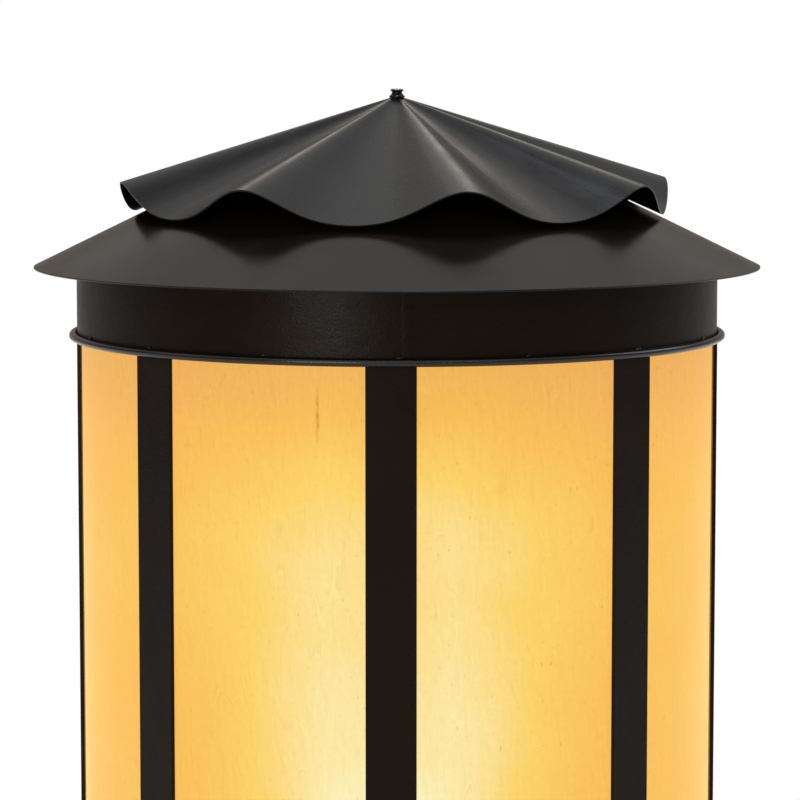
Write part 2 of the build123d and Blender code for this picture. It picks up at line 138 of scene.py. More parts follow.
class LanternSizes(bpy.types.PropertyGroup):
    """Sizes of the dressed pieces."""

    band_thickness: length_of("Band thickness", "Wall of both rolled bands", 3.175)
    panel_radius: length_of("Panel radius", "Outer face of the diffuser panels", 254.0)
    panel_thickness: length_of("Panel thickness", "Wall of the diffuser panels", 3.0)
    panel_spacing: length_of("Panel spacing", "Gap between panels, behind a bar", 8.0)
    run_place: bpy.props.FloatVectorProperty(
        name="Run", description="Brown run on the unrolled panels",
        default=(-53.9 * MM, 0.0, 543.0 * MM), unit="LENGTH",
    )
    seam_azimuth: angle_of("Seam azimuth", "Upright weld seam of the top band", 2.7)
    roof_thickness: length_of("Roof thickness", "Sheet of the conical roof", 1.5)
    roof_slope: angle_of("Roof slope", "Slope of the conical roof", 26.0)
    cap_slant: length_of("Cap slant", "Cap's apex to its edge along the sheet", 234.0)
    cap_mean_drop: length_of("Cap drop", "Cap's apex to its edge, mean height", 79.0)
    flute_rise: length_of("Flute rise", "Crests above the mean, lows below it", 12.8)
    crest_pinch: share_of("Crest pinch", "How much narrower crests are than lows", 0.33)
    crest_azimuth: angle_of("Crest azimuth", "First crest right of the front", 14.5)
    cap_thickness: length_of("Cap thickness", "Sheet of the fluted cap", 1.3)
    flutes: bpy.props.IntProperty(name="Flutes", description="Flutes of the cap", default=8, min=3)
    tacks: bpy.props.IntProperty(name="Tacks", description="Tack welds along each bead", default=16, min=1)
    tack_size: length_of("Tack size", "Half the length of a common tack weld", 2.4)
    base_screw: length_of("Base screw", "Diameter of the screws through the lower band", 4.83)
    base_screw_height: length_of("Base screw height", "Base screws above the pier", 18.0)
    deck_screw: length_of("Deck screw", "Diameter of the deck's screws", 4.17)
    deck_screw_radius: length_of("Deck screw circle", "Deck screws from the axis", 241.775)
    block_screw: length_of("Block screw", "Diameter of the terminal block's screws", 3.5)
    block_screw_radius: length_of("Block screw circle", "Block screws from the axis", 13.0)
    lamp_radius: length_of("Lamp circle", "Lamps from the axis", 120.0)
    stem: length_of("Stem", "Diameter of the threaded lamp pipes", 10.3)
    lamp_base: length_of("Lamp base", "Diameter of the lamp's screw base", 26.2)
    lamp_neck: length_of("Lamp neck", "Diameter of the globe's neck", 25.2)
    holder_wall: length_of("Holder wall", "Wall of the porcelain cup", 6.0)
    holder_neck: length_of("Holder neck", "Diameter of the lampholder's neck", 22.0)
    edge: length_of("Eased edge", "Rounding of cut sheet and bar edges", 0.45)


class LanternColours(bpy.types.PropertyGroup):
    """Main colours, as sRGB hex values."""

    black: colour_of("Black", "Powder coat", "#17120E")
    cool_black: colour_of("Cool black", "Coat of the cap", "#111111")
    warm_black: colour_of("Warm black", "Thick powder coat", "#1B1107")
    # Levels of the lamps' painted glow on the panels, from dim to the core
    amber_dim: colour_of("Amber, dim", "Panel beside a band", "#FAB961")
    amber_mid: colour_of("Amber", "Panel between lamps", "#FDC35B")
    amber_glow: colour_of("Amber, lit", "Panel beside a lamp", "#FFD56B")
    amber_near: colour_of("Amber, near", "Panel near a lamp", "#FFE497")
    amber_hot: colour_of("Amber, hot", "Panel in front of a lamp", "#FFF2B8")
    amber_white: colour_of("Amber, white", "Core of a lamp's glow", "#FFFDEE")
    stain: colour_of("Stain", "Specks in the panels", "#F0DDBE")
    run: colour_of("Run", "Brown run in a panel", "#DBBB92")
    horizon: colour_of("Horizon", "Floor's far end in the gloss", "#A09D99")
    walls: colour_of("Walls", "Studio walls in the gloss", "#867E76")
    upper: colour_of("Upper walls", "Walls higher up", "#C3BFBA")
    cove: colour_of("Cove", "Studio above its walls", "#D2D1D0")
    ceiling: colour_of("Ceiling", "Studio ceiling", "#A0A0A0")
    floor: colour_of("Floor", "Pale studio floor", "#D9D8D6")


class LanternStage(bpy.types.PropertyGroup):
    """Camera and studio."""

    distance: length_of("Distance", "Camera to the lantern's axis", 2829.0)
    height: length_of("Height", "Camera above the pier", 829.0)
    azimuth: angle_of("Azimuth", "Camera right of the front bar", 0.94)
    pitch: angle_of("Pitch", "Camera looks down by this", 6.05)
    aside: length_of("Aside", "Camera stands right of the axis", 2.4)
    lens: bpy.props.FloatProperty(name="Lens", description="Focal length", default=157.9, unit="CAMERA")
    ambient: share_of("Ambient", "Light from all round", 0.45)
    aim_height: length_of("Aim height", "Lights aim at this height on the axis", 450.0)
    floor_radius: length_of("Floor radius", "Studio floor from the axis", 4000.0)


def linear(code, share=1.0):
    """Linear RGBA of an sRGB hex colour, or of a share of it."""
    channels = [int(code[i : i + 2], 16) / 255 for i in (1, 3, 5)]
    light = [c / 12.92 if c <= 0.04045 else ((c + 0.055) / 1.055) ** 2.4 for c in channels]
    return tuple(share * c for c in light) + (1.0,)


def wire(tree, node, inputs):
    """Sets a node's inputs. Each is a value, a socket, or a node for its first output."""
    for key, value in inputs.items():
        if isinstance(value, bpy.types.Node):
            value = value.outputs[0]
        if isinstance(value, bpy.types.NodeSocket):
            tree.links.new(value, node.inputs[key])
        else:
            node.inputs[key].default_value = value


def add_node(tree, kind, *inputs, **settings):
    """Adds a node with its settings and its inputs, which come in order or as one table by name."""
    node = tree.nodes.new(kind)
    for key, value in settings.items():
        setattr(node, key, value)
    named = bool(inputs) and isinstance(inputs[0], dict)
    wire(tree, node, inputs[0] if named else dict(enumerate(inputs)))
    return node


def set_stops(ramp, stops):
    """Gives a colour ramp its stops, a colour for each position."""
    first, *between, last = stops
    elements = ramp.color_ramp.elements
    elements[0].position, elements[0].color = first, stops[first]
    elements[1].position, elements[1].color = last, stops[last]
    for position in between:
        elements.new(position).color = stops[position]


def new_material(name, constants):
    """Material with a principled shader whose constant sockets are set."""
    material = bpy.data.materials.new(name)
    material.use_nodes = True
    tree = material.node_tree
    shader = tree.nodes["Principled BSDF"]
    wire(tree, shader, constants)
    return material, tree, shader


def per_size(size_mm):
    """Texture scale whose features are about this many millimetres."""
    return 1.0 / (size_mm * MM)


def powder_coat(name, colour, peel_mm, peel_depth, roughness, specular, streaks=0.0):
    """Black powder coat on mild steel: an even black, with an orange peel that breaks up its gloss.

    Streaks are lines of more and less gloss that run down from an apex on the axis.
    """
    material, tree, shader = new_material(name, {"IOR": 1.5, "Specular IOR Level": specular})
    add = partial(add_node, tree)
    place = add(COORDINATES).outputs["Object"]
    tone = add(RAMP, add(NOISE, {"Vector": place, "Scale": per_size(60), "Detail": 3.0}))
    set_stops(tone, {0.3: linear(colour, 0.8), 0.7: linear(colour, 1.2)})
    smear = add(NOISE, {"Vector": place, "Scale": per_size(25), "Detail": 4.0})
    gloss = add(RANGE, smear, 0.3, 0.7, roughness - 0.04, roughness + 0.04)
    if streaks:
        level = add(VECTOR, place, FLAT, operation="MULTIPLY")
        outward = add(VECTOR, level, operation="NORMALIZE")
        along = add(VECTOR, place, (0.0, 0.0, 0.5), outward, operation="MULTIPLY_ADD")
        # Lines about two degrees apart
        lines = add(NOISE, {"Vector": along, "Scale": 1 / math.radians(2.0), "Detail": 3.0})
        lines = add(RANGE, lines, 0.3, 0.7, -streaks, streaks)
        gloss = add(MATH, gloss, lines, operation="ADD")
    # Orange peel over the slower waves of a thick coat
    peel = add(NOISE, {"Vector": place, "Scale": per_size(peel_mm), "Detail": 2.0})
    waves = add(NOISE, {"Vector": place, "Scale": per_size(9), "Detail": 1.0})
    relief = add(MATH, waves, 1.2, peel, operation="MULTIPLY_ADD")
    bump = add(BUMP, {"Height": relief, "Strength": 1.0, "Distance": 0.12 * MM * peel_depth})
    wire(tree, shader, {"Base Color": tone, "Roughness": gloss, "Normal": bump})
    return material


def lamp_glow(add, x, y, height):
    """Painted glow of the lamps on the panels at a place, as a level for the colour ramp."""
    # Lamps stand behind every second bar, so the nearer of the two axes gives the way to the nearest lamp
    from_side = add(MATH, x, operation="ABSOLUTE")
    from_front = add(MATH, y, operation="ABSOLUTE")
    aside = add(MATH, from_side, from_front, operation="MINIMUM")
    spot = add(JOIN, {"X": aside, "Z": height})
    # Painted shade: panels are dimmer beside the bands
    top, bottom = BEAD_LOW.z, BASE_BEAD_HIGH.z
    glow = add(RANGE, height, top, top - 145 * MM, 0.03, 0.28, **SMOOTH)
    dusk = add(RANGE, height, bottom, bottom + 130 * MM, -0.28, 0.0, **SMOOTH)
    glow = add(MATH, glow, dusk, operation="ADD")
    # Painted shadow: the bar in front of a lamp takes some of its light
    painted_bar_shadow = add(RANGE, aside, 24 * MM, 52 * MM, 0.86, 1.0, **SMOOTH)
    # Painted dimming: side lamps show less than those in front and behind
    facing = add(RANGE, from_front, 100 * MM, 215 * MM, 0.2, 1.0, **SMOOTH)
    showing = add(MATH, painted_bar_shadow, facing, operation="MULTIPLY")
    # Depth below the bead, reach and share of each painted pool of light
    for depth, reach, share in (
        (154 * MM, 238 * MM, 0.57), (337 * MM, 185 * MM, 0.64), (375 * MM, 95 * MM, 0.45)
    ):
        lamp = (0.0, 0.0, top - depth)
        away = add(VECTOR, spot, lamp, operation="DISTANCE").outputs["Value"]
        near = add(RANGE, away, 0.0, reach, share, 0.0, **SMOOTH)
        glow = add(MATH, near, showing, glow, operation="MULTIPLY_ADD")
    return glow


def drawn_painted_shade(add, sheet, height, mottle):
    """Brightness of a drawn sheet's painted glow, from painted light and shade on its ripples and hairlines
    and from its mottle, and the ripples themselves.
    """
    # Painted light and shade: each upright ripple shows a lighter and a darker side
    upright = add(MAPPING, {0: sheet, "Scale": (1.0, 1.0, 0.3)})
    beside = add(MAPPING, {0: upright, "Location": (0.8 * MM, 0.0, 0.3 * MM)})
    ripple, ripple_beside = (
        add(NOISE, {"Vector": at, "Scale": per_size(7), "Detail": 3.0, "Distortion": 0.9})
        for at in (upright, beside)
    )
    relief = add(MATH, ripple, ripple_beside, operation="SUBTRACT")
    # Painted shade: the sheet is a little dimmer under the band
    shade = add(RANGE, height, BEAD_LOW.z, BEAD_LOW.z - 70 * MM, 0.88, 0.95, **SMOOTH)
    shade = add(MATH, relief, 0.28, shade, operation="MULTIPLY_ADD")
    shade = add(MATH, mottle, 0.1, shade, operation="MULTIPLY_ADD")
    # Short hairlines, painted dark beside painted light, are pieces of one contour of a slow noise
    leaning = add(MAPPING, {0: sheet, "Rotation": (0.0, math.radians(9), 0.0), "Scale": (1.0, 1.0, 0.25)})
    flow = add(NOISE, {"Vector": leaning, "Scale": per_size(22), "Detail": 1.0})
    broken = add(NOISE, {"Vector": sheet, "Scale": per_size(16), "Detail": 1.0})
    broken = add(RANGE, broken, 0.53, 0.62)
    for contour, change in ((0.5, -0.05), (0.516, 0.04)):
        hair = add(MATH, flow, contour, 0.008, operation="COMPARE")
        hair = add(MATH, hair, broken, operation="MULTIPLY")
        shade = add(MATH, hair, change, shade, operation="MULTIPLY_ADD")
    return shade, ripple


def honey_diffuser(colours, sizes):
    """Sheet of honey-coloured acrylic with the lamps' glow painted on as emission, brightest in front of a
    lamp, with specks and drawn streaks.
    """
    constants = {"IOR": 1.49, "Roughness": 0.4, "Specular IOR Level": 0.12}
    material, tree, shader = new_material("lit_honey_acrylic", constants)
    add = partial(add_node, tree)
    place = add(COORDINATES).outputs["Object"]
    x, y, height = add(SPLIT, place).outputs
    ahead = add(MATH, y, -1.0, operation="MULTIPLY")
    turn = add(MATH, x, ahead, operation="ARCTAN2")
    arc = add(MATH, turn, sizes.panel_radius, operation="MULTIPLY")
    # The sheet unrolled: along its arc and up
    sheet = add(JOIN, {"X": arc, "Z": height})
    cloud = add(NOISE, {"Vector": sheet, "Scale": per_size(55), "Detail": 4.0})
    mottle = add(NOISE, {"Vector": sheet, "Scale": per_size(5), "Detail": 2.0})
    drift = add(MATH, cloud, 0.2, -0.12, operation="MULTIPLY_ADD")
    glow = add(MATH, lamp_glow(add, x, y, height), drift, operation="ADD")
    glow = add(MATH, glow, 0.8, operation="MULTIPLY", use_clamp=True)
    # Painted glow: its level picks the panel's colour, from dim amber to the white core
    lit = add(RAMP, glow)
    set_stops(lit, {
        0.0: linear(colours.amber_dim), 0.24: linear(colours.amber_mid), 0.464: linear(colours.amber_glow),
        0.64: linear(colours.amber_near), 0.8: linear(colours.amber_hot), 1.0: linear(colours.amber_white),
    })

    # Uneven specks, a millimetre or two across, that gather in patches
    drawn = add(MAPPING, {0: sheet, "Scale": (1.0, 1.0, 0.6)})
    grit = add(NOISE, {"Vector": drawn, "Scale": per_size(3.4), "Detail": 1.0})
    speck = add(RANGE, grit, 0.67, 0.78)
    patch = add(RANGE, cloud, 0.4, 0.62, 0.15, 1.0)
    speck = add(MATH, speck, patch, operation="MULTIPLY")
    # One thin brown run in the sheet left of the front bar, patchy and not quite straight
    wander = add(MATH, mottle, 2.4 * MM, arc, operation="MULTIPLY_ADD")
    wander = add(JOIN, {"X": wander, "Z": height})
    from_run = add(VECTOR, wander, sizes.run_place, operation="SUBTRACT")
    from_run = add(VECTOR, from_run, (1.0, 1.0, 0.075), operation="MULTIPLY")
    from_run = add(VECTOR, from_run, operation="LENGTH").outputs["Value"]
    run = add(RANGE, from_run, 0.2 * MM, 1.9 * MM, 1.0, 0.0)
    patchy = add(RANGE, grit, 0.3, 0.6, 0.3, 1.0)
    run = add(MATH, run, patchy, operation="MULTIPLY")
    for share, code in ((speck, colours.stain), (run, colours.run)):
        mixed = {MIX_SHARE: share, MIX_FIRST: lit, MIX_SECOND: linear(code)}
        lit = add(MIX, mixed, data_type="RGBA", blend_type="MULTIPLY").outputs[MIX_RESULT]
    # The base colour is the painted glow's colour, a tenth as bright
    body = add(VECTOR, {0: lit, "Scale": 0.1}, operation="SCALE")

    shade, ripple = drawn_painted_shade(add, sheet, height, mottle)
    # Painted glow is weaker on the inner face than on the outer face
    level = add(VECTOR, place, FLAT, operation="MULTIPLY")
    radius = add(VECTOR, level, operation="LENGTH").outputs["Value"]
    middle = sizes.panel_radius - sizes.panel_thickness / 2
    strength = add(RANGE, radius, middle, middle + 0.1 * MM, 0.4, 0.905)
    strength = add(MATH, strength, shade, operation="MULTIPLY")
    bump = add(BUMP, {"Height": ripple, "Strength": 0.3, "Distance": 0.3 * MM})
    wire(tree, shader, {"Base Color": body, "Normal": bump})
    wire(tree, shader, {"Emission Color": lit, "Emission Strength": strength})
    return material


def metal(name, colour, roughness, grain_mm, spread):
    """Bare or plated metal whose gloss and tone vary with its grain."""
    material, tree, shader = new_material(name, {"Metallic": 1.0})
    add = partial(add_node, tree)
    place = add(COORDINATES).outputs["Object"]
    grain = add(NOISE, {"Vector": place, "Scale": per_size(grain_mm), "Detail": 4.0})
    tone = add(RAMP, grain)
    set_stops(tone, {0.0: linear(colour, 0.75), 1.0: linear(colour)})
    gloss = add(RANGE, grain, 0.0, 1.0, roughness - spread, roughness + spread)
    soft = add("ShaderNodeBevel", {"Radius": 0.25 * MM}, samples=4)
    bump = add(BUMP, {"Height": grain, "Normal": soft, "Strength": 0.12, "Distance": 0.1 * MM})
    wire(tree, shader, {"Base Color": tone, "Roughness": gloss, "Normal": bump})
    return material


def coated(name, colour, roughness, grain_mm, ior=1.5, bump_strength=0.1, glow=0.0):
    """Paint, glaze, moulded plastic or frosted glass: one colour with slight mottling and a fine surface."""
    material, tree, shader = new_material(name, {"IOR": ior, "Roughness": roughness})
    add = partial(add_node, tree)
    place = add(COORDINATES).outputs["Object"]
    grain = add(NOISE, {"Vector": place, "Scale": per_size(grain_mm), "Detail": 3.0})
    tone = add(RAMP, grain)
    set_stops(tone, {0.0: linear(colour, 0.88), 1.0: linear(colour)})
    bump = add(BUMP, {"Height": grain, "Strength": bump_strength, "Distance": 0.1 * MM})
    wire(tree, shader, {"Base Color": tone, "Normal": bump})
    if glow:
        wire(tree, shader, {"Emission Color": tone, "Emission Strength": glow})
    return material


def rounded(corners, radius, steps=3):
    """Closed outline with its corners eased, and a point beside each so that flats stay flat when shaded."""
    points = []
    count = len(corners)
    for i in range(count):
        before, here, after = (Vector(corners[(i + k) % count]) for k in (-1, 0, 1))
        if here.x < ON_AXIS:
            points.append(here)
            continue
        to_before, to_after = before - here, after - here
        cut = min(radius, 0.4 * to_before.length, 0.4 * to_after.length)
        start = here + to_before.normalized() * cut
        end = here + to_after.normalized() * cut
        points.append(here + to_before.normalized() * min(2 * cut, 0.45 * to_before.length))
        for k in range(steps + 1):
            t = k / steps
            points.append(start.lerp(here, t).lerp(here.lerp(end, t), t))
        points.append(here + to_after.normalized() * min(2 * cut, 0.45 * to_after.length))
    return points


def lathe(name, outline, segments=192):
    """Mesh of revolution about Z of a closed outline of radius and height."""
    grid = bmesh.new()
    rings = []
    for s in range(segments):
        angle = 2 * math.pi * s / segments
        across = Vector((math.sin(angle), -math.cos(angle), 0))
        rings.append([grid.verts.new(across * p[0] + Vector((0, 0, p[1]))) for p in outline])
    for s in range(segments):
        here, after = rings[s], rings[(s + 1) % segments]
        for k in range(len(outline)):
            n = (k + 1) % len(outline)
            if outline[k][0] > ON_AXIS or outline[n][0] > ON_AXIS:
                grid.faces.new((here[k], after[k], after[n], here[n]))
    bmesh.ops.remove_doubles(grid, verts=grid.verts, dist=1e-7)
    bmesh.ops.dissolve_degenerate(grid, edges=grid.edges, dist=1e-8)
    bmesh.ops.recalc_face_normals(grid, faces=grid.faces)
    return from_bmesh(name, grid)


def from_bmesh(name, grid):
    """Smooth-shaded object made from a bmesh, at the origin."""
    mesh = bpy.data.meshes.new(name)
    grid.to_mesh(mesh)
    grid.free()
    mesh.polygons.foreach_set("use_smooth", [True] * len(mesh.polygons))
    piece = bpy.data.objects.new(name, mesh)
    bpy.context.scene.collection.objects.link(piece)
    return piece


def modify(piece, label, kind, **settings):
    """Adds a modifier with its settings."""
    modifier = piece.modifiers.new(label, kind)
    for key, value in settings.items():
        setattr(modifier, key, value)
    return modifier


def settle(piece):
    """Turns a piece with modifiers into a plain mesh."""
    evaluated = piece.evaluated_get(bpy.context.evaluated_depsgraph_get())
    mesh = bpy.data.meshes.new_from_object(evaluated)
    piece.modifiers.clear()
    piece.data = mesh
    mesh.name = piece.name
    return piece


def seat(piece, material, body, slot, *nodes):
    """Gives a finished piece its material, its body and the nodes that it stands for."""
    if not piece.data.materials:
        piece.data.materials.append(material)
    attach(piece, body)
    if nodes:
        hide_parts(*nodes)
    return piece


def numbered(name, count):
    """Names of so many like nodes."""
    return [f"{name}_{i}" for i in range(1, count + 1)]


def finish_of(name):
    """A finish that the first operator made."""
    return bpy.data.materials[name]


def group_tree(name, sockets):
    """Geometry tree with one geometry output, the given inputs and a finish."""
    tree = bpy.data.node_groups.new(name, "GeometryNodeTree")
    tree.interface.new_socket("Geometry", in_out="OUTPUT", socket_type="NodeSocketGeometry")
    for label, kind in {**sockets, "Finish": "Material"}.items():
        tree.interface.new_socket(label, in_out="INPUT", socket_type=f"NodeSocket{kind}")
    return tree, add_node(tree, "NodeGroupInput").outputs


def end_tree(tree, geometry, given):
    """Realizes the instances, sets the finish and links the output."""
    whole = add_node(tree, "GeometryNodeRealizeInstances", geometry)
    coat = add_node(tree, "GeometryNodeSetMaterial", {"Geometry": whole, "Material": given["Finish"]})
    add_node(tree, "NodeGroupOutput", coat)
    return tree


def run_tree(name, tree, values):
    """New object whose mesh is what the tree makes from these input values."""
    piece = bpy.data.objects.new(name, bpy.data.meshes.new(name))
    bpy.context.scene.collection.objects.link(piece)
    modifier = modify(piece, "Nodes", "NODES", node_group=tree)
    for item in tree.interface.items_tree:
        if item.in_out == "INPUT" and item.name in values:
            modifier[item.identifier] = values[item.name]
    return piece


def around_tree():
    """Copies of a source piece, turned evenly about the lantern's axis."""
    tree, given = group_tree("Around the axis", {"Source": "Object", "Count": "Int", "First": "Float"})
    add = partial(add_node, tree)
    source = add("GeometryNodeObjectInfo", {"Object": given["Source"]}).outputs["Geometry"]
    points = add("GeometryNodePoints", {"Count": given["Count"]})
    step = add(MATH, 2 * math.pi, given["Count"], operation="DIVIDE")
    index = add("GeometryNodeInputIndex")
    angle = add(MATH, index, step, given["First"], operation="MULTIPLY_ADD")
    turn = add(JOIN, {"Z": angle})
    copies = add(ON_POINTS, {"Points": points, "Instance": source, "Rotation": turn})
    return end_tree(tree, copies, given)


def set_around(name, source, count, finish, first=0.0):
    """One mesh with copies of the source about the axis. The source is used up."""
    tree = bpy.data.node_groups.get("Around the axis") or around_tree()
    piece = run_tree(name, tree, {"Source": source, "Count": count, "First": first, "Finish": finish})
    settle(piece)
    bpy.data.objects.remove(source)
    return piece


class LANTERN_OT_finishes(bpy.types.Operator):
    """Makes every finish and coats the pieces that keep their own shape"""

    bl_idname = "lantern.finishes"
    bl_label = "Finishes"

    def execute(self, context):
        colours = context.scene.lantern_colours
        # Thin coat on smooth sheet and turned pieces: satin, hardly any peel
        powder_coat(
            "satin_black_powder_coat", colours.black,
            peel_mm=1.8, peel_depth=0.2, roughness=0.22, specular=0.19,
        )
        # Thin coat on the cap's sheet: softer highlights, streaked by the forming of the flutes
        powder_coat(
            "fluted_black_powder_coat", colours.cool_black,
            peel_mm=1.8, peel_depth=0.06, roughness=0.29, specular=0.19, streaks=0.04,
        )
        # Thick coat on hot-rolled strip and bar: clear orange peel
        powder_coat(
            "heavy_black_powder_coat", colours.warm_black,
            peel_mm=1.9, peel_depth=1.0, roughness=0.31, specular=0.1,
        )
        # Thick coat on drawn rod and welds: glossier, wavy
        powder_coat(
            "gloss_black_powder_coat", colours.black,
            peel_mm=3.2, peel_depth=0.3, roughness=0.2, specular=0.42,
        )
        honey_diffuser(colours, context.scene.lantern_sizes)
        # Bright zinc plate on screws, nuts and pipe: cool grey, a little cloudy
        metal("zinc_plated_steel", "#B9BBBD", roughness=0.34, grain_mm=4.0, spread=0.08)
        # Turned steel left bare on the finial's top: dull grey
        metal("turned_steel", "#A29E99", roughness=0.5, grain_mm=3.0, spread=0.05)
        # Drawn brass screw shell: warm and fairly bright
        metal("drawn_brass", "#D2A94E", roughness=0.3, grain_mm=6.0, spread=0.06)
        # Nickel-plated lamp base: pale and bright
        metal("nickel_plated_brass", "#CFCBC2", roughness=0.26, grain_mm=5.0, spread=0.06)
        # White stove enamel on the reflector deck: glossy, faintly mottled
        coated("white_stove_enamel", "#E9E7E1", roughness=0.28, grain_mm=8.0)
        # Glazed porcelain: white, wet gloss
        coated("glazed_porcelain", "#EAE6DC", roughness=0.12, grain_mm=20.0, ior=1.55, bump_strength=0.04)
        # Moulded nylon: dull black with a spark-eroded grain
        coated("moulded_nylon", "#232323", roughness=0.55, grain_mm=0.8, bump_strength=0.3)
        # Silicone lead sheath: off-white, soft sheen
        coated("silicone_sheath", "#D8D2C4", roughness=0.5, grain_mm=1.5, ior=1.41)
        # Frosted lamp glass, lit from inside
        coated("frosted_lamp_glass", "#FFE3AE", roughness=0.5, grain_mm=2.0, glow=1.6)
        by_slot = {
            "black_powder_coat": "satin_black_powder_coat",
            "honey_diffuser": "lit_honey_acrylic",
            "zinc_plate": "zinc_plated_steel",
            "white_enamel": "white_stove_enamel",
            "black_nylon": "moulded_nylon",
            "lead_sheath": "silicone_sheath",
            "porcelain": "glazed_porcelain",
            "brass": "drawn_brass",
            "nickel_base": "nickel_plated_brass",
            "frosted_glass": "frosted_lamp_glass",
        }
        for part in frame["record"]["subparts"]:
            node = NODES[part["node"]]
            node.data.materials.clear()
            node.data.materials.append(finish_of(by_slot[part["material_slot"]]))
        return {"FINISHED"}


def cap_tree():
    """Sheet ruled from a small hole at the apex to the wavy edge of a round blank."""
    measures = ("Slant", "Mean drop", "Rise", "Pinch", "Crest", "Hole", "Apex")
    tree, given = group_tree("Fluted cap", {"Flutes": "Int", **dict.fromkeys(measures, "Float")})
    add = partial(add_node, tree)
    grid = add("GeometryNodeMeshGrid", {"Size X": 1.0, "Size Y": 1.0, "Vertices X": 481, "Vertices Y": 41})
    x, y = add(SPLIT, add("GeometryNodeInputPosition")).outputs[:2]
    angle = add(MATH, x, -2 * math.pi, operation="MULTIPLY")
    along = add(MATH, y, 0.5, operation="ADD")
    wave = add(MATH, angle, given["Crest"], operation="SUBTRACT")
    wave = add(MATH, wave, given["Flutes"], operation="MULTIPLY")
    swing = add(MATH, wave, operation="SINE")
    bent = add(MATH, swing, given["Pinch"], wave, operation="MULTIPLY_ADD")
    lift = add(MATH, bent, operation="COSINE")
    lift = add(MATH, lift, given["Rise"], operation="MULTIPLY")
    drop = add(MATH, given["Mean drop"], lift, operation="SUBTRACT")
    # The blank keeps its slant length, so its reach follows from the drop
    slant_square = add(MATH, given["Slant"], given["Slant"], operation="MULTIPLY")
    drop_square = add(MATH, drop, drop, operation="MULTIPLY")
    reach = add(MATH, slant_square, drop_square, operation="SUBTRACT")
    reach = add(MATH, reach, operation="SQRT")
    run = add(MATH, reach, given["Hole"], operation="SUBTRACT")
    radius = add(MATH, run, along, given["Hole"], operation="MULTIPLY_ADD")
    sine = add(MATH, angle, operation="SINE")
    cosine = add(MATH, angle, operation="COSINE")
    across = add(MATH, radius, sine, operation="MULTIPLY")
    inward = add(MATH, radius, cosine, operation="MULTIPLY")
    forward = add(MATH, inward, -1.0, operation="MULTIPLY")
    down = add(MATH, drop, along, operation="MULTIPLY")
    level = add(MATH, given["Apex"], down, operation="SUBTRACT")
    place = add(JOIN, across, forward, level)
    moved = add(MOVE, {"Geometry": grid, "Position": place})
    closed = add("GeometryNodeMergeByDistance", {"Geometry": moved, "Distance": 0.01 * MM})
    return end_tree(tree, add(SMOOTH_SHADE, {"Geometry": closed}), given)


class LANTERN_OT_fluted_cap(bpy.types.Operator):
    """Makes the fluted cap with its sheet thickness and eased edges"""

    bl_idname = "lantern.fluted_cap"
    bl_label = "Fluted cap"

    def execute(self, context):
        sizes = context.scene.lantern_sizes
        coat = finish_of("fluted_black_powder_coat")
        cap = run_tree(
            "fluted_cap_sheet", cap_tree(),
            {
                "Flutes": sizes.flutes, "Slant": sizes.cap_slant, "Mean drop": sizes.cap_mean_drop,
                "Rise": sizes.flute_rise, "Pinch": sizes.crest_pinch, "Crest": sizes.crest_azimuth,
                "Hole": STUD_RADIUS + 0.4 * MM, "Apex": CAP_HIGH.z, "Finish": coat,
            },
        )
        modify(cap, "Sheet", "SOLIDIFY", thickness=sizes.cap_thickness, offset=-1.0, use_even_offset=True)
        modify(
            cap, "Eased edge", "BEVEL", width=sizes.edge * 0.8, segments=2, limit_method="ANGLE",
            angle_limit=math.radians(50), harden_normals=True,
        )
        settle(cap)
        seat(cap, coat, "cap", "black_powder_coat", "fluted_cap")
        return {"FINISHED"}


class LANTERN_OT_roof(bpy.types.Operator):
    """Makes the plain conical roof"""

    bl_idname = "lantern.roof"
    bl_label = "Roof"

    def execute(self, context):
        sizes = context.scene.lantern_sizes
        across = sizes.roof_thickness * math.sin(sizes.roof_slope)
        upward = sizes.roof_thickness * math.cos(sizes.roof_slope)
        rim = ROOF_HIGH.x
        rim_top = ROOF_LOW.z + upward
        run = (ROOF_HIGH.z - rim_top) / math.tan(sizes.roof_slope)
        outline = [
            (rim - across, ROOF_LOW.z), (rim, rim_top), (rim - run, ROOF_HIGH.z),
            (rim - run - across, ROOF_HIGH.z - upward),
        ]
        cone = lathe("roof_cone_sheet", rounded(outline, sizes.edge))
        seat(cone, finish_of("satin_black_powder_coat"), "roof", "black_powder_coat", "roof_cone")
        return {"FINISHED"}


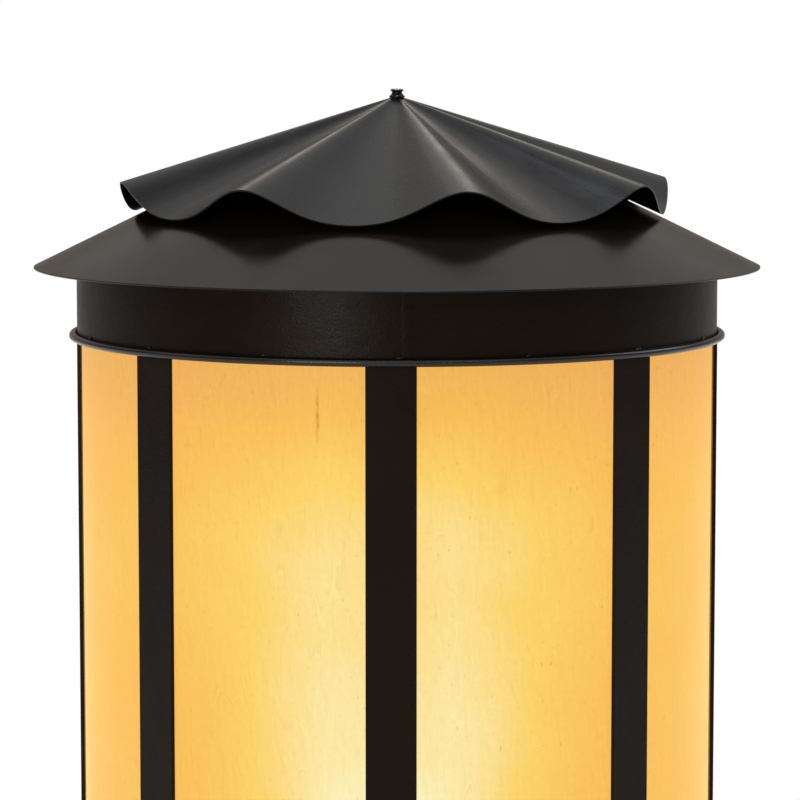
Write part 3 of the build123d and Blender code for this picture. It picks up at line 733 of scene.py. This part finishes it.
class LANTERN_OT_bands(bpy.types.Operator):
    """Makes the two rolled bands, the seam of the upper one and the bead rods"""

    bl_idname = "lantern.bands"
    bl_label = "Bands and beads"

    def execute(self, context):
        sizes = context.scene.lantern_sizes
        coat = finish_of("heavy_black_powder_coat")
        gloss = finish_of("gloss_black_powder_coat")
        outer = BAND_HIGH.x
        inner = outer - sizes.band_thickness
        for name, low, high, node in (
            ("top_band_strip", BAND_LOW.z, BAND_HIGH.z, "top_band"),
            ("bottom_band_strip", BASE_LOW.z, BASE_HIGH.z, "bottom_band"),
        ):
            section = [(inner, low), (outer, low), (outer, high), (inner, high)]
            strip = lathe(name, rounded(section, sizes.edge))
            seat(strip, coat, "cage", "black_powder_coat", node)
        sides = 20
        turns = [2 * math.pi * k / sides for k in range(sides)]
        for name, low, high, node in (
            ("top_bead_rod", BEAD_LOW, BEAD_HIGH, "top_bead"),
            ("bottom_bead_rod", BASE_BEAD_LOW, BASE_BEAD_HIGH, "bottom_bead"),
        ):
            rod = (high.z - low.z) / 2
            middle = (high.z + low.z) / 2
            outline = [(high.x - rod + rod * math.cos(t), middle + rod * math.sin(t)) for t in turns]
            seat(lathe(name, outline), gloss, "cage", "black_powder_coat", node)
        self.seam(sizes, coat)
        return {"FINISHED"}

    def seam(self, sizes, coat):
        """Upright weld where the top band's ends meet, ground nearly flush and a little uneven."""
        half_width, root = 4.5 * MM, 0.6 * MM
        proud_mm, sunk_mm = 0.16, 0.05
        low, high = BEAD_HIGH.z - 1 * MM, BAND_HIGH.z - 1 * MM
        grid = bmesh.new()
        bmesh.ops.create_grid(grid, x_segments=8, y_segments=60, size=0.5)
        for vert in grid.verts:
            u, v = 2 * vert.co.x, vert.co.y + 0.5
            waver = 1 + 0.14 * math.sin(37 * v) + 0.08 * math.sin(91 * v + 2)
            radius = BAND_HIGH.x + (proud_mm * (1 - u * u) * waver - sunk_mm) * MM
            turn = sizes.seam_azimuth + half_width * u * waver / radius
            vert.co = (radius * math.sin(turn), -radius * math.cos(turn), low + (high - low) * v)
        bmesh.ops.recalc_face_normals(grid, faces=grid.faces)
        ridge = from_bmesh("top_band_seam", grid)
        modify(ridge, "Root", "SOLIDIFY", thickness=root, offset=-1.0)
        settle(ridge)
        seat(ridge, coat, "cage", "black_powder_coat")


def tack_tree():
    """Small uneven weld tacks along a bead, one at each even step about the axis."""
    sockets = {"Count": "Int", "Radius": "Float", "Height": "Float", "Size": "Float", "Seed": "Int"}
    tree, given = group_tree("Weld tacks", sockets)
    add = partial(add_node, tree)
    points = add("GeometryNodePoints", {"Count": given["Count"]})
    index = add("GeometryNodeInputIndex")
    chance = {"ID": index, "Seed": given["Seed"]}
    step = add(MATH, 2 * math.pi, given["Count"], operation="DIVIDE")
    # A tack strays from its step by up to this angle, between the node's number sockets
    stray = 0.03
    sway = add(RANDOM, {2: -stray, 3: stray, **chance}, data_type="FLOAT").outputs[1]
    angle = add(MATH, index, step, sway, operation="MULTIPLY_ADD")
    turn = add(JOIN, {"Z": angle})
    front = add(MATH, given["Radius"], -1.0, operation="MULTIPLY")
    front = add(JOIN, {"Y": front, "Z": given["Height"]})
    place = add("ShaderNodeVectorRotate", {"Vector": front, "Rotation": turn}, rotation_type="EULER_XYZ")
    moved = add(MOVE, {"Geometry": points, "Position": place})
    ball = add("GeometryNodeMeshIcoSphere", {"Radius": 1.0, "Subdivisions": 4})
    rough = add(NOISE, {"Scale": 1.3, "Detail": 2.0})
    swell = add(MATH, rough, 0.9, -0.45, operation="MULTIPLY_ADD")
    normal = add("GeometryNodeInputNormal")
    push = add(VECTOR, {0: normal, "Scale": swell}, operation="SCALE")
    lump = add(MOVE, {"Geometry": ball, "Offset": push})
    smooth = add(SMOOTH_SHADE, {"Geometry": lump})
    least = add(JOIN, 0.7, 0.4, 0.45)
    most = add(JOIN, 1.3, 0.6, 0.9)
    bulk = add(RANDOM, {0: least, 1: most, **chance}, data_type="FLOAT_VECTOR")
    scale = add(VECTOR, {0: bulk, "Scale": given["Size"]}, operation="SCALE")
    copies = add(ON_POINTS, {"Points": moved, "Instance": smooth, "Rotation": turn, "Scale": scale})
    return end_tree(tree, copies, given)


class LANTERN_OT_welds(bpy.types.Operator):
    """Makes the weld tacks between each band and its bead"""

    bl_idname = "lantern.welds"
    bl_label = "Weld tacks"

    def execute(self, context):
        sizes = context.scene.lantern_sizes
        coat = finish_of("gloss_black_powder_coat")
        tree = tack_tree()
        common = {
            "Count": sizes.tacks, "Radius": BAND_HIGH.x + 0.3 * MM, "Size": sizes.tack_size, "Finish": coat,
        }
        for name, height, seed in (
            ("top_bead_tacks", BEAD_HIGH.z - 0.2 * MM, 3),
            ("bottom_bead_tacks", BASE_BEAD_LOW.z + 0.2 * MM, 8),
        ):
            tacks = run_tree(name, tree, {**common, "Height": height, "Seed": seed})
            settle(tacks)
            seat(tacks, coat, "cage", "black_powder_coat")
        return {"FINISHED"}


class LANTERN_OT_finial(bpy.types.Operator):
    """Makes the spool-shaped finial with its bare top, and the dished washer under it"""

    bl_idname = "lantern.finial"
    bl_label = "Finial"

    def execute(self, context):
        coat = finish_of("satin_black_powder_coat")
        low, high, top = FINIAL_LOW.z, FINIAL_HIGH.z, FINIAL_HIGH.x
        tall = high - low
        bore = STUD_RADIUS + CLEARANCE
        bore_end = STUD_HIGH.z + 0.3 * MM
        bare = high - 0.22 * tall
        # Foot, hollow waist and flaring top, as shares of the top's radius and of the height
        profile = ((0.94, 0.0), (0.94, 0.07), (0.78, 0.22), (0.77, 0.5), (0.97, 0.62), (1.0, 0.67))
        side = [(share * top, low + rise * tall) for share, rise in profile]
        outline = [(bore, low), *side, (top, bare), (0, bare), (0, bore_end), (bore, bore_end)]
        spool = lathe("finial_spool", rounded(outline, 0.4 * MM), segments=64)
        seat(spool, coat, "finial", "black_powder_coat", "finial")
        disc = [(0, bare), (0.98 * top, bare), (0.86 * top, high), (0, high)]
        crown = lathe("finial_crown", rounded(disc, 0.5 * MM), segments=64)
        seat(crown, finish_of("turned_steel"), "finial", "zinc_plate")
        hole = bore + 0.35 * MM
        foot, rim, face = WASHER_LOW.z, WASHER_HIGH.x, WASHER_HIGH.z
        section = [
            (hole, face - 1.2 * MM), (rim, foot), (rim, foot + 0.5 * (face - foot)),
            (0.8 * rim, face), (hole, face),
        ]
        washer = lathe("finial_washer_dish", rounded(section, 0.3 * MM), segments=64)
        seat(washer, coat, "washer", "black_powder_coat", "finial_washer")
        return {"FINISHED"}


class LANTERN_OT_bars(bpy.types.Operator):
    """Makes the upright flat bars with eased edges"""

    bl_idname = "lantern.bars"
    bl_label = "Upright bars"

    def execute(self, context):
        grid = bmesh.new()
        bmesh.ops.create_cube(grid, size=1.0)
        bmesh.ops.scale(grid, vec=BAR_HIGH - BAR_LOW, verts=grid.verts)
        bmesh.ops.translate(grid, vec=(BAR_LOW + BAR_HIGH) / 2, verts=grid.verts)
        bar = from_bmesh("bar_source", grid)
        edge = context.scene.lantern_sizes.edge
        modify(bar, "Eased edge", "BEVEL", width=edge, segments=3, harden_normals=True)
        settle(bar)
        coat = finish_of("heavy_black_powder_coat")
        bars = set_around("upright_bars", bar, SIDES, coat)
        seat(bars, coat, "cage", "black_powder_coat", *numbered("bar", SIDES))
        return {"FINISHED"}


class LANTERN_OT_panels(bpy.types.Operator):
    """Makes the curved diffuser panels"""

    bl_idname = "lantern.panels"
    bl_label = "Diffuser panels"

    def execute(self, context):
        sizes = context.scene.lantern_sizes
        inner = sizes.panel_radius - sizes.panel_thickness
        half = math.pi / SIDES - math.asin(sizes.panel_spacing / 2 / inner)
        columns, rows = 32, 28
        low, high = PANEL_LOW.z, PANEL_HIGH.z
        heights = [low + (high - low) * r / rows for r in range(rows + 1)]
        grid = bmesh.new()
        skins = []
        for radius in (sizes.panel_radius, inner):
            skin = []
            for c in range(columns + 1):
                angle = math.pi / SIDES - half + 2 * half * c / columns
                across = Vector((math.sin(angle), -math.cos(angle), 0)) * radius
                skin.append([grid.verts.new(across + Vector((0, 0, h))) for h in heights])
            skins.append(skin)
        for skin in skins:
            for c in range(columns):
                for r in range(rows):
                    grid.faces.new((skin[c][r], skin[c + 1][r], skin[c + 1][r + 1], skin[c][r + 1]))
        outer, inside = skins
        for c in range(columns):
            for r in (0, rows):
                grid.faces.new((outer[c][r], outer[c + 1][r], inside[c + 1][r], inside[c][r]))
        for r in range(rows):
            for c in (0, columns):
                grid.faces.new((outer[c][r], outer[c][r + 1], inside[c][r + 1], inside[c][r]))
        bmesh.ops.recalc_face_normals(grid, faces=grid.faces)
        panel = from_bmesh("panel_source", grid)
        panel.data.set_sharp_from_angle(angle=math.radians(40))
        acrylic = finish_of("lit_honey_acrylic")
        panels = set_around("diffuser_panels", panel, SIDES, acrylic)
        seat(panels, acrylic, "cage", "honey_diffuser", *numbered("panel", SIDES))
        return {"FINISHED"}


def pan_screw(name, diameter, length):
    """Pan-head screw on the axis with a cross recess, its head's underside at height 0."""
    shank, head, tall = diameter / 2, 0.975 * diameter, 0.6 * diameter
    turns = (0.0, 0.4, 0.75, 1.1, 1.35)
    crown = [(head * math.cos(t), 0.5 * tall + 0.5 * tall * math.sin(t)) for t in turns]
    outline = [(0, -length), (shank, -length), (shank, 0), (head, 0), *crown, (0, tall)]
    screw = lathe(name, outline, segments=48)
    grid = bmesh.new()
    for wide, deep in ((0.95, 0.2), (0.2, 0.95)):
        wing = bmesh.ops.create_cube(grid, size=1.0)["verts"]
        bmesh.ops.scale(grid, vec=Vector((wide, deep, 0.9)) * diameter, verts=wing)
        bmesh.ops.translate(grid, vec=(0, 0, tall + 0.1 * diameter), verts=wing)
    cutter = from_bmesh("cross_cutter", grid)
    modify(screw, "Cross recess", "BOOLEAN", object=cutter, use_self=True)
    settle(screw)
    bpy.data.objects.remove(cutter)
    screw.data.set_sharp_from_angle(angle=math.radians(35))
    return screw


class LANTERN_OT_screws(bpy.types.Operator):
    """Makes the cross-recessed screws of the lower band, the deck and the terminal block"""

    bl_idname = "lantern.screws"
    bl_label = "Screws"

    def execute(self, context):
        sizes = context.scene.lantern_sizes
        zinc = finish_of("zinc_plated_steel")
        on_band = Matrix.Translation((0, -BASE_HIGH.x - CLEARANCE, sizes.base_screw_height))
        outward = on_band @ Matrix.Rotation(math.pi / 2, 4, "X")
        on_deck = Matrix.Translation((0, -sizes.deck_screw_radius, DECK_TOP))
        on_block = Matrix.Translation((0, -sizes.block_screw_radius, DECK_TOP))
        for node, diameter, length, place, count, first in (
            ("base_screws", sizes.base_screw, 10.0 * MM, outward, 4, 45.0),
            ("deck_screws", sizes.deck_screw, 8.0 * MM, on_deck, 4, 22.5),
            ("block_screws", sizes.block_screw, 9.0 * MM, on_block, 2, 45.0),
        ):
            screw = pan_screw("screw_source", diameter, length)
            screw.data.transform(place)
            screws = set_around(f"{node}_cross", screw, count, zinc, math.radians(first))
            seat(screws, zinc, "cage", "zinc_plate", node)
        return {"FINISHED"}


def thread_tree():
    """Rod on the axis whose wall runs round it as a screw thread."""
    measures = ("Radius", "Low", "High", "Pitch", "Depth")
    sockets = {**dict.fromkeys(measures, "Float"), "Rows": "Int", "Sides": "Int"}
    tree, given = group_tree("Screw thread", sockets)
    add = partial(add_node, tree)
    length = add(MATH, given["High"], given["Low"], operation="SUBTRACT")
    turns = add(MATH, length, given["Pitch"], operation="DIVIDE")
    rows = add(MATH, turns, given["Rows"], operation="MULTIPLY")
    rod = add(
        "GeometryNodeMeshCylinder",
        {"Vertices": given["Sides"], "Side Segments": rows, "Radius": 1.0, "Depth": 1.0},
    )
    x, y, z = add(SPLIT, add("GeometryNodeInputPosition")).outputs
    angle = add(MATH, y, x, operation="ARCTAN2")
    part = add(MATH, angle, -2 * math.pi, operation="DIVIDE")
    along = add(MATH, z, 0.5, operation="ADD")
    phase = add(MATH, along, turns, part, operation="MULTIPLY_ADD")
    groove = add(MATH, phase, 0.5, operation="PINGPONG")
    cut = add(MATH, given["Depth"], -2.0, operation="MULTIPLY")
    radius = add(MATH, groove, cut, given["Radius"], operation="MULTIPLY_ADD")
    across = add(MATH, x, radius, operation="MULTIPLY")
    deep = add(MATH, y, radius, operation="MULTIPLY")
    level = add(MATH, along, length, given["Low"], operation="MULTIPLY_ADD")
    place = add(JOIN, across, deep, level)
    moved = add(MOVE, {"Geometry": rod, "Position": place})
    return end_tree(tree, add(SMOOTH_SHADE, {"Geometry": moved}), given)


def threaded(name, diameter, low, high, pitch, depth, rows, sides, finish):
    """Threaded rod on the axis, as a plain mesh, with so many rows of faces to a turn."""
    tree = bpy.data.node_groups.get("Screw thread") or thread_tree()
    values = {
        "Radius": diameter / 2, "Low": low, "High": high, "Pitch": pitch, "Depth": depth, "Rows": rows,
        "Sides": sides, "Finish": finish,
    }
    rod = run_tree(name, tree, values)
    settle(rod)
    rod.data.set_sharp_from_angle(angle=math.radians(60))
    return rod


class LANTERN_OT_threads(bpy.types.Operator):
    """Makes the threaded roof stud and lamp stems"""

    bl_idname = "lantern.threads"
    bl_label = "Threads"

    def execute(self, context):
        sizes = context.scene.lantern_sizes
        zinc = finish_of("zinc_plated_steel")
        common = {"rows": 4, "sides": 24, "finish": zinc}
        # Number 10 thread, 24 to the inch
        span = (2 * STUD_RADIUS, STUD_LOW.z, STUD_HIGH.z)
        stud = threaded("roof_stud_thread", *span, pitch=1.058 * MM, depth=0.6 * MM, **common)
        seat(stud, zinc, "cage", "zinc_plate", "roof_stud")
        # Lamp pipe, 27 threads to the inch
        span = (sizes.stem, STEM_LOW.z, STEM_HIGH.z)
        stem = threaded("stem_source", *span, pitch=0.941 * MM, depth=0.55 * MM, **common)
        stem.data.transform(Matrix.Translation((0, -sizes.lamp_radius, 0)))
        stems = set_around("lamp_stems_thread", stem, LAMPS, zinc)
        seat(stems, zinc, "cage", "zinc_plate", "lamp_stems")
        return {"FINISHED"}


class LANTERN_OT_lamps(bpy.types.Operator):
    """Makes the porcelain lampholders and the lamps with their screw bases"""

    bl_idname = "lantern.lamps"
    bl_label = "Lamps"

    def execute(self, context):
        sizes = context.scene.lantern_sizes
        nickel = finish_of("nickel_plated_brass")
        self.holders(sizes)
        for number in range(1, LAMPS + 1):
            low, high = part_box(f"bulb_glass_{number}")
            axis = Matrix.Translation(((low.x + high.x) / 2, (low.y + high.y) / 2, 0))
            body = f"bulb_{number}"
            globe = lathe(f"lamp_globe_{number}", self.globe_outline(sizes, low.z, high.z), segments=64)
            globe.data.transform(axis)
            seat(globe, finish_of("frosted_lamp_glass"), body, "frosted_glass", f"bulb_glass_{number}")
            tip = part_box(f"bulb_base_{number}")[0].z
            screw_low = tip + 5.5 * MM
            # Screw base with a rolled thread, 7 to the inch
            span = (sizes.lamp_base, screw_low, low.z)
            base = threaded(
                f"lamp_base_{number}", *span,
                pitch=3.629 * MM, depth=1.3 * MM, rows=12, sides=48, finish=nickel,
            )
            base.data.transform(axis)
            seat(base, nickel, body, "nickel_base", f"bulb_base_{number}")
            contact, skirt = 0.37 * sizes.lamp_base / 2, 0.86 * sizes.lamp_base / 2
            outline = [
                (0, tip), (contact, tip), (contact, tip + 1.5 * MM), (skirt, screw_low), (0, screw_low),
            ]
            eyelet = lathe(f"lamp_tip_{number}", rounded(outline, 0.5 * MM), segments=48)
            eyelet.data.transform(axis)
            seat(eyelet, finish_of("moulded_nylon"), body, "black_nylon")
        return {"FINISHED"}

    def globe_outline(self, sizes, low, high):
        """Neck, flare and round crown of the globe."""
        radius = (GLOBE_HIGH.x - GLOBE_LOW.x) / 2
        neck = sizes.lamp_neck / 2
        centre = high - radius
        neck_top = low + 6 * MM
        flare_steps, crown_steps = 14, 16
        outline = [(0, low), (neck, low)]
        for k in range(flare_steps + 1):
            t = k / flare_steps
            swell = (1 - math.cos(math.pi * t)) / 2
            outline.append((neck + (radius - neck) * swell, neck_top + (centre - neck_top) * t))
        for k in range(1, crown_steps):
            turn = math.pi / 2 * k / crown_steps
            outline.append((radius * math.cos(turn), centre + radius * math.sin(turn)))
        outline.append((0, high))
        return outline

    def holders(self, sizes):
        """Porcelain cups with a flared foot, a grooved waist and eased lips."""
        radius = (HOLDER_HIGH.x - HOLDER_LOW.x) / 2
        low, high = HOLDER_LOW.z, HOLDER_HIGH.z
        neck, stem = sizes.holder_neck / 2, sizes.stem / 2 + CLEARANCE
        neck_top, cup_floor, shoulder = low + 12 * MM, low + 20 * MM, low + 22 * MM
        groove_low, groove_high, slope = high - 10 * MM, high - 6 * MM, 1 * MM
        inner, waist = radius - sizes.holder_wall, radius - 0.8 * MM
        outline = [
            (stem, low), (neck, low), (neck, neck_top), (radius, shoulder), (radius, groove_low),
            (waist, groove_low + slope), (waist, groove_high - slope), (radius, groove_high),
            (radius, high), (inner, high), (inner, cup_floor), (stem, cup_floor),
        ]
        glaze = finish_of("glazed_porcelain")
        holder = lathe("holder_source", rounded(outline, 1.2 * MM, steps=4), segments=64)
        holder.data.transform(Matrix.Translation((0, -sizes.lamp_radius, 0)))
        cups = set_around("lampholder_cups", holder, LAMPS, glaze)
        seat(cups, glaze, "cage", "porcelain", *numbered("lampholder", LAMPS))


class LANTERN_OT_stage(bpy.types.Operator):
    """Sets the camera, the pale floor, the white background and the soft lights"""

    bl_idname = "lantern.stage"
    bl_label = "Stage"

    def execute(self, context):
        scene = context.scene
        stage, colours = scene.lantern_stage, scene.lantern_colours
        scene.view_settings.view_transform = "Standard"

        lens = bpy.data.cameras.new("photo_camera")
        lens.lens = stage.lens
        lens.sensor_width = 36.0
        lens.clip_end = 100.0
        camera = bpy.data.objects.new("photo_camera", lens)
        right = Vector((math.cos(stage.azimuth), math.sin(stage.azimuth), 0))
        back = Vector((math.sin(stage.azimuth), -math.cos(stage.azimuth), 0))
        camera.location = back * stage.distance + right * stage.aside + Vector((0, 0, stage.height))
        camera.rotation_euler = (math.pi / 2 - stage.pitch, 0, stage.azimuth)
        scene.collection.objects.link(camera)
        scene.camera = camera

        grid = bmesh.new()
        bmesh.ops.create_circle(grid, cap_ends=True, segments=96, radius=stage.floor_radius)
        # Just under the pier plate, so that the two faces don't meet
        bmesh.ops.translate(grid, vec=(0, 0, -0.3 * MM), verts=grid.verts)
        floor = from_bmesh("studio_floor", grid)
        floor.data.materials.append(self.floor_finish(colours))

        self.world(scene, stage, colours)
        for name, place, wide, tall, power, tint in (
            ("overhead_softbox", (0.1, -0.1, 2.7), 0.6, 0.6, 20.0, "#F2F6FF"),
            ("front_softbox", (-0.98, -2.41, 0.7), 1.1, 0.4, 11.0, "#FFF9F2"),
            ("front_strip", (0.0, -2.6, 1.8), 4.0, 0.15, 12.0, "#F2F6FF"),
            ("left_softbox", (-2.4, -0.4, 1.8), 0.9, 0.9, 1.5, "#FFFBF5"),
            ("right_softbox", (2.2, 0.6, 2.0), 1.6, 1.6, 15.0, "#F2F6FF"),
            ("back_strip", (0.03, 2.62, 2.18), 1.3, 0.7, 5.0, "#FFF6EA"),
        ):
            box = bpy.data.lights.new(name, "AREA")
            box.shape = "RECTANGLE"
            box.size = wide
            box.size_y = tall
            box.energy = power
            box.color = linear(tint)[:3]
            light = bpy.data.objects.new(name, box)
            light.location = place
            aim = Vector((0, 0, stage.aim_height)) - Vector(place)
            light.rotation_euler = aim.to_track_quat("-Z", "Y").to_euler()
            light.visible_camera = False
            scene.collection.objects.link(light)
        return {"FINISHED"}

    def floor_finish(self, colours):
        """Matt pale paint, shown nearly white to the camera so that the background is white."""
        constants = {"Roughness": 0.9, "Specular IOR Level": 0.1, "Base Color": linear(colours.floor)}
        material, tree, shader = new_material("studio_floor_paint", constants)
        add = partial(add_node, tree)
        path = add("ShaderNodeLightPath").outputs
        white = add("ShaderNodeEmission", {"Color": WHITE, "Strength": 1.0})
        place = add(COORDINATES).outputs["Object"]
        away = add(VECTOR, place, operation="LENGTH").outputs["Value"]
        # The shadow shows near the lantern, and further out the floor is white
        fade = add(RANGE, away, 0.3, 0.9, 0.6, 1.0, **SMOOTH)
        seen = add(MATH, path["Is Camera Ray"], path["Is Glossy Ray"], operation="MAXIMUM")
        seen = add(MATH, seen, path["Is Transmission Ray"], operation="MAXIMUM")
        share = add(MATH, seen, fade, operation="MULTIPLY")
        mixed = add("ShaderNodeMixShader", share, shader, white)
        wire(tree, tree.nodes["Material Output"], {"Surface": mixed})
        return material

    def world(self, scene, stage, colours):
        """White to the camera. Gloss sees the far floor, paling walls, a white cove and a grey ceiling."""
        world = bpy.data.worlds.new("white_studio")
        world.use_nodes = True
        scene.world = world
        tree = world.node_tree
        add = partial(add_node, tree)
        path = add("ShaderNodeLightPath").outputs
        towards = add(COORDINATES).outputs["Generated"]
        studio = add(RAMP, add(SPLIT, towards).outputs["Z"])
        set_stops(studio, {
            0.0: linear(colours.horizon), 0.07: linear(colours.walls), 0.22: linear(colours.walls),
            0.43: linear(colours.upper), 0.66: linear(colours.cove), 0.75: WHITE, 0.87: WHITE,
            0.92: linear(colours.ceiling), 1.0: linear(colours.ceiling),
        })
        seen = add(MATH, path["Is Camera Ray"], path["Is Transmission Ray"], operation="MAXIMUM")
        mixed = {MIX_SHARE: seen, MIX_FIRST: studio, MIX_SECOND: WHITE}
        colour = add(MIX, mixed, data_type="RGBA").outputs[MIX_RESULT]
        full = add(MATH, seen, path["Is Glossy Ray"], operation="MAXIMUM")
        strength = add(MATH, full, 1.0 - stage.ambient, stage.ambient, operation="MULTIPLY_ADD")
        wire(tree, tree.nodes["Background"], {"Color": colour, "Strength": strength})


class LANTERN_PT_panel(bpy.types.Panel):
    """Lists the lantern's operators"""

    bl_label = "Pier mount light"
    bl_idname = "LANTERN_PT_panel"
    bl_space_type = "VIEW_3D"
    bl_region_type = "UI"
    bl_category = "Lantern"

    def draw(self, context):
        for operator in OPERATORS:
            self.layout.operator(operator.bl_idname)


OPERATORS = (
    LANTERN_OT_finishes,
    LANTERN_OT_fluted_cap,
    LANTERN_OT_roof,
    LANTERN_OT_bands,
    LANTERN_OT_welds,
    LANTERN_OT_finial,
    LANTERN_OT_bars,
    LANTERN_OT_panels,
    LANTERN_OT_screws,
    LANTERN_OT_threads,
    LANTERN_OT_lamps,
    LANTERN_OT_stage,
)
GROUPS = (
    (LanternSizes, "lantern_sizes"),
    (LanternColours, "lantern_colours"),
    (LanternStage, "lantern_stage"),
)


def register():
    for group, name in GROUPS:
        bpy.utils.register_class(group)
        setattr(bpy.types.Scene, name, bpy.props.PointerProperty(type=group))
    for cls in (*OPERATORS, LANTERN_PT_panel):
        bpy.utils.register_class(cls)


def unregister():
    for cls in (LANTERN_PT_panel, *reversed(OPERATORS)):
        bpy.utils.unregister_class(cls)
    for group, name in reversed(GROUPS):
        delattr(bpy.types.Scene, name)
        bpy.utils.unregister_class(group)


def main():
    register()
    for operator in OPERATORS:
        family, action = operator.bl_idname.split(".")
        getattr(getattr(bpy.ops, family), action)()


if __name__ == "__main__":
    main()
